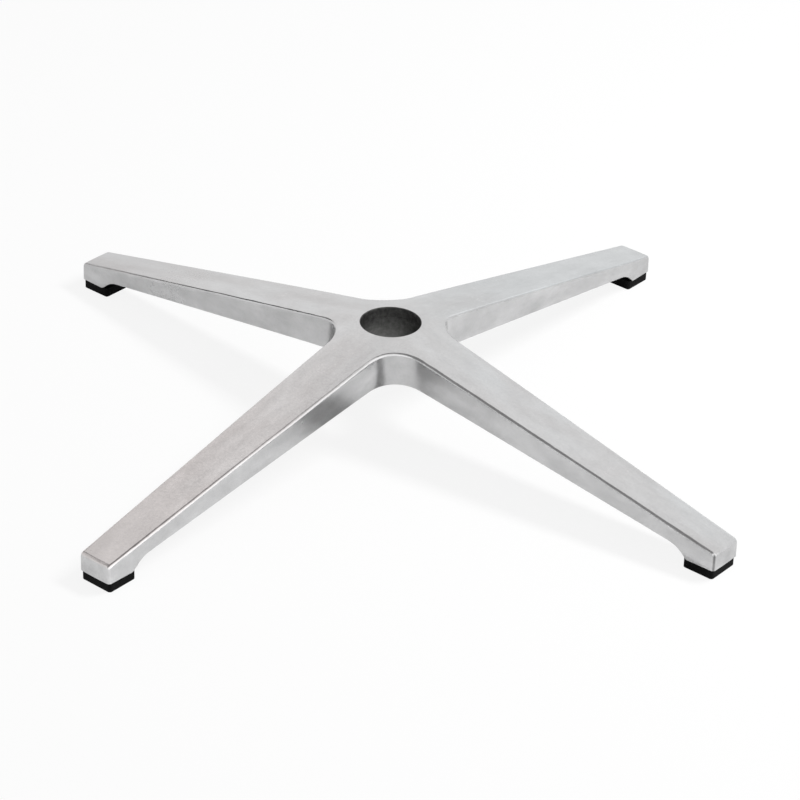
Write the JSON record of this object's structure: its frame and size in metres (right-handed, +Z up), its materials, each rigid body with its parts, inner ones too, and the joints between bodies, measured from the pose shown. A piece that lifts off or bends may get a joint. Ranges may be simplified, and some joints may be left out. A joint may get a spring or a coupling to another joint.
{
  "type": "office chair base",
  "caption": "Star-shaped die-cast chair base: sloping tapered arms run from a hub with a column socket down to square glides on the floor.",
  "frame": {"origin": "on the floor, under the centre of the hub", "axes": "+Z up along the column axis; the arms lie along +X (right), +Y (back), -X (left) and -Y (front)"},
  "size_m": [0.7, 0.7, 0.092],
  "materials": {
    "polished_aluminium": "ground and buffed, soft gloss",
    "black_nylon": "moulded, matte",
    "zinc_steel": "bright zinc plate"
  },
  "bodies": {
    "root": {"base_casting": "polished_aluminium", "glide_right": "black_nylon", "glide_back": "black_nylon", "glide_left": "black_nylon", "glide_front": "black_nylon", "glide_screws": "zinc_steel"}
  },
  "joints": []
}
